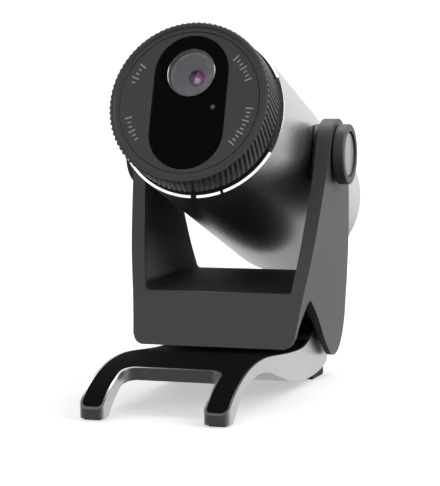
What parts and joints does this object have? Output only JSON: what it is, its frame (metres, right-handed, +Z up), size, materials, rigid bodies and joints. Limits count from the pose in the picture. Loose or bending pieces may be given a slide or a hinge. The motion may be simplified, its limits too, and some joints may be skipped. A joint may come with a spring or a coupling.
{
  "type": "webcam on stand",
  "caption": "Barrel-shaped webcam with a knurled turning front ring, tilting in a U-shaped yoke that is hinged on a forked silver stand foot.",
  "frame": {"origin": "centre of the footprint's bounding box on the table, z = 0 at the lowest faces of the soles and heel pad", "axes": "+X to the right seen from the front, -Y the way the camera looks over the fork, +Z up"},
  "size_m": [0.0534, 0.1109, 0.0839],
  "materials": {
    "yoke_grey": "fine matt dark grey",
    "liner_grey": "matt dark grey",
    "satin_aluminium": "satin blasted, clear anodised",
    "foot_silver": "satin silver casting",
    "pad_black": "smooth black cushion",
    "rubber_black": "matt black",
    "ring_grey": "dark grey anodised, knurled",
    "plate_grey": "matt dark grey",
    "window_black": "polished black window",
    "lens_glass": "coated glass",
    "lens_cell_grey": "satin grey",
    "light_white": "milky white light guide",
    "steel": "plain",
    "cap_silver": "satin silver",
    "board_green": "solder mask",
    "chip_black": "matt black",
    "frame_plastic": "matt black",
    "brass": "plain"
  },
  "bodies": {
    "foot": {"foot_casting": "foot_silver", "foot_top_pad": "pad_black", "tip_sole_left": "rubber_black", "tip_sole_right": "rubber_black", "heel_pad": "rubber_black", "hinge_pin": "steel"},
    "yoke": {"yoke_shell": "yoke_grey", "yoke_liner": "liner_grey", "arm_bush_left": "brass", "arm_bush_right": "brass", "hinge_washer_left": "steel", "hinge_washer_right": "steel"},
    "focus_ring": {"grip_sleeve": "ring_grey", "ring_core": "ring_grey"},
    "lens": {"lens_cell": "lens_cell_grey", "lens_front_glass": "lens_glass", "lens_inner_glass": "lens_glass"},
    "head": {"barrel_shell": "satin_aluminium", "cap_disc_left": "cap_silver", "cap_disc_right": "cap_silver", "face_plate": "plate_grey", "front_chassis": "frame_plastic", "image_sensor": "chip_black", "indicator_lens": "cap_silver", "lens_holder": "lens_cell_grey", "light_lower_left": "light_white", "light_lower_right": "light_white", "light_lower_short": "light_white", "light_top": "light_white", "main_board": "board_green", "memory_chip": "chip_black", "pivot_boss_left": "yoke_grey", "pivot_boss_right": "yoke_grey", "pivot_cap_left": "yoke_grey", "pivot_cap_right": "yoke_grey", "pivot_shaft_left": "steel", "pivot_shaft_right": "steel", "rear_frame": "frame_plastic", "rear_panel": "frame_plastic", "rear_screw_left": "steel", "rear_screw_right": "steel", "sensor_board": "board_green", "usb_socket": "steel", "usb_tongue": "chip_black", "video_processor": "chip_black", "window_glass": "window_black"}
  },
  "joints": [
    {"name": "stand_hinge", "type": "hinge", "parent": "foot", "child": "yoke", "pos_m": [0, 0.02226, 0.0135], "axis": [-1, 0, 0], "range_deg": [0, 38]},
    {"name": "head_tilt", "type": "hinge", "parent": "yoke", "child": "head", "pos_m": [0, 0.00676, 0.0543], "axis": [-1, 0, 0], "range_deg": [-43, 3.5]},
    {"name": "focus_ring_turn", "type": "hinge", "parent": "head", "child": "focus_ring", "pos_m": [0, 0.00676, 0.0543], "axis": [0, -0.9532, 0.3024], "range_deg": [-45, 45]},
    {"name": "lens_focus_slide", "type": "slide", "parent": "head", "child": "lens", "axis": [0, 0.9532, -0.3024], "range_m": [-0.0004, 0.0004]}
  ],
  "couplings": [
    {"joint": "lens_focus_slide", "follows": "focus_ring_turn", "m_per_rad": 0.0005}
  ]
}
